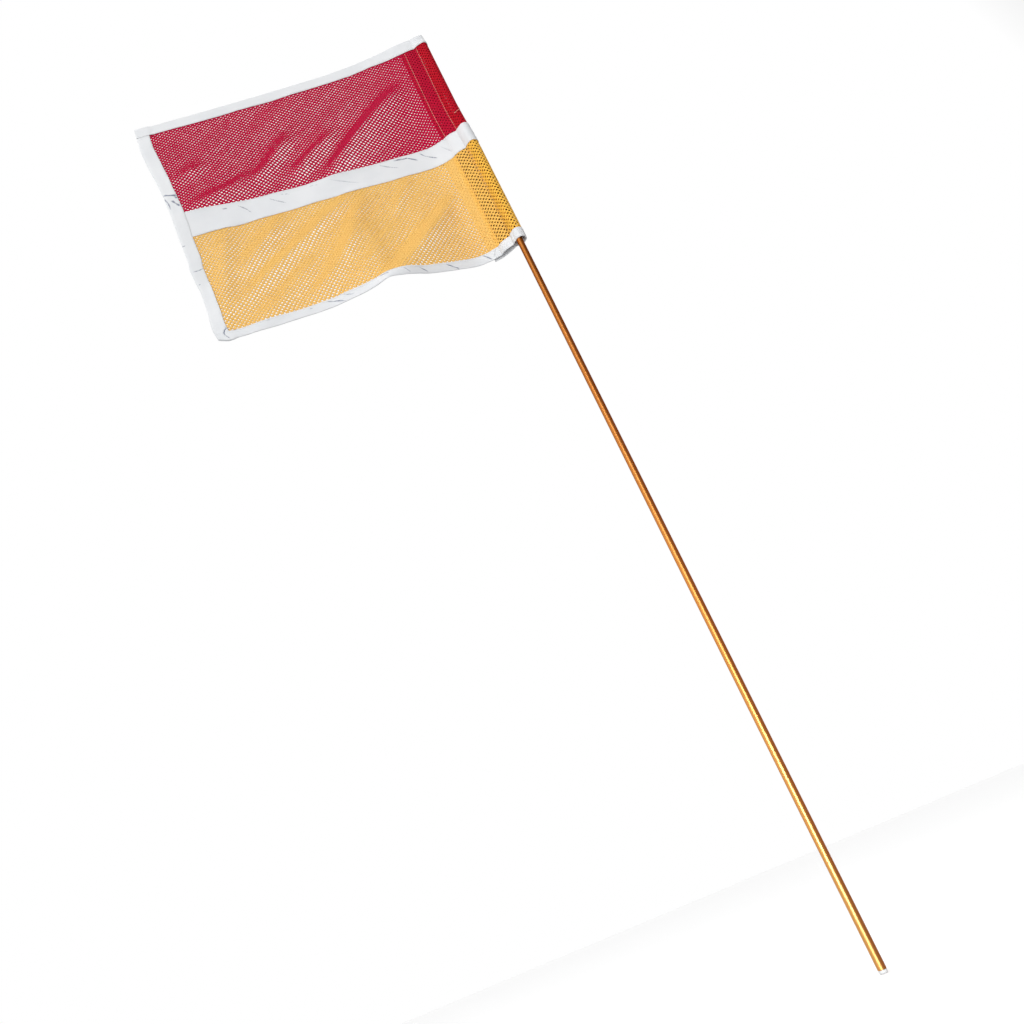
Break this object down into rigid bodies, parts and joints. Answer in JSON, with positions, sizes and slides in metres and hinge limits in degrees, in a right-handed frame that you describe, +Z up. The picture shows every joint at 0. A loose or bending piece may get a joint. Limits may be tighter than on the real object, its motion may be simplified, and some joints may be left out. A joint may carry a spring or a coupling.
{
  "type": "flagstick",
  "caption": "Slim metal pole with plugged ends carrying a two-colour open-mesh flag, edged and banded in white tape, on a sewn pocket that swivels round the pole.",
  "frame": {"origin": "centre of the flat middle of the foot plug, where the pole's axis meets the ground", "axes": "+Z up along the pole; the flag flies towards -X; the front of the flag faces -Y"},
  "size_m": [0.3489, 0.0271, 1.0305],
  "materials": {
    "gold_metal": "yellow-gold plated, satin",
    "plug_plastic": "off-white moulded plastic",
    "red_mesh": "open knitted mesh",
    "yellow_mesh": "open knitted mesh",
    "white_tape": "smooth coated tape",
    "thread": "sewing thread"
  },
  "bodies": {
    "pole": {"pole_tube": "gold_metal", "foot_plug": "plug_plastic", "top_plug": "plug_plastic"},
    "pocket": {"red_sleeve": "red_mesh", "yellow_sleeve": "yellow_mesh", "top_tape_wrap": "white_tape", "band_tape_wrap": "white_tape", "foot_tape_wrap": "white_tape", "pocket_stitch": "thread", "hem_stitch": "thread", "thread_tail": "thread"},
    "flag": {"red_panel": "red_mesh", "yellow_panel": "yellow_mesh", "top_tape": "white_tape", "foot_tape": "white_tape", "fly_tape": "white_tape", "band_tape_front": "white_tape", "band_tape_back": "white_tape", "top_tape_stitch": "thread", "foot_tape_stitch": "thread", "band_stitch_upper": "thread", "band_stitch_lower": "thread", "fly_tape_stitch": "thread"}
  },
  "joints": [
    {"name": "pocket_swivel", "type": "hinge", "parent": "pole", "child": "pocket", "pos_m": [0, 0, 0.8], "axis": [0, 0, 1], "continuous": true},
    {"name": "flag_fold", "type": "hinge", "parent": "pocket", "child": "flag", "pos_m": [-0.02537, 0.00923, 0.8], "axis": [0, 0, 1], "range_deg": [-110, 110]}
  ]
}
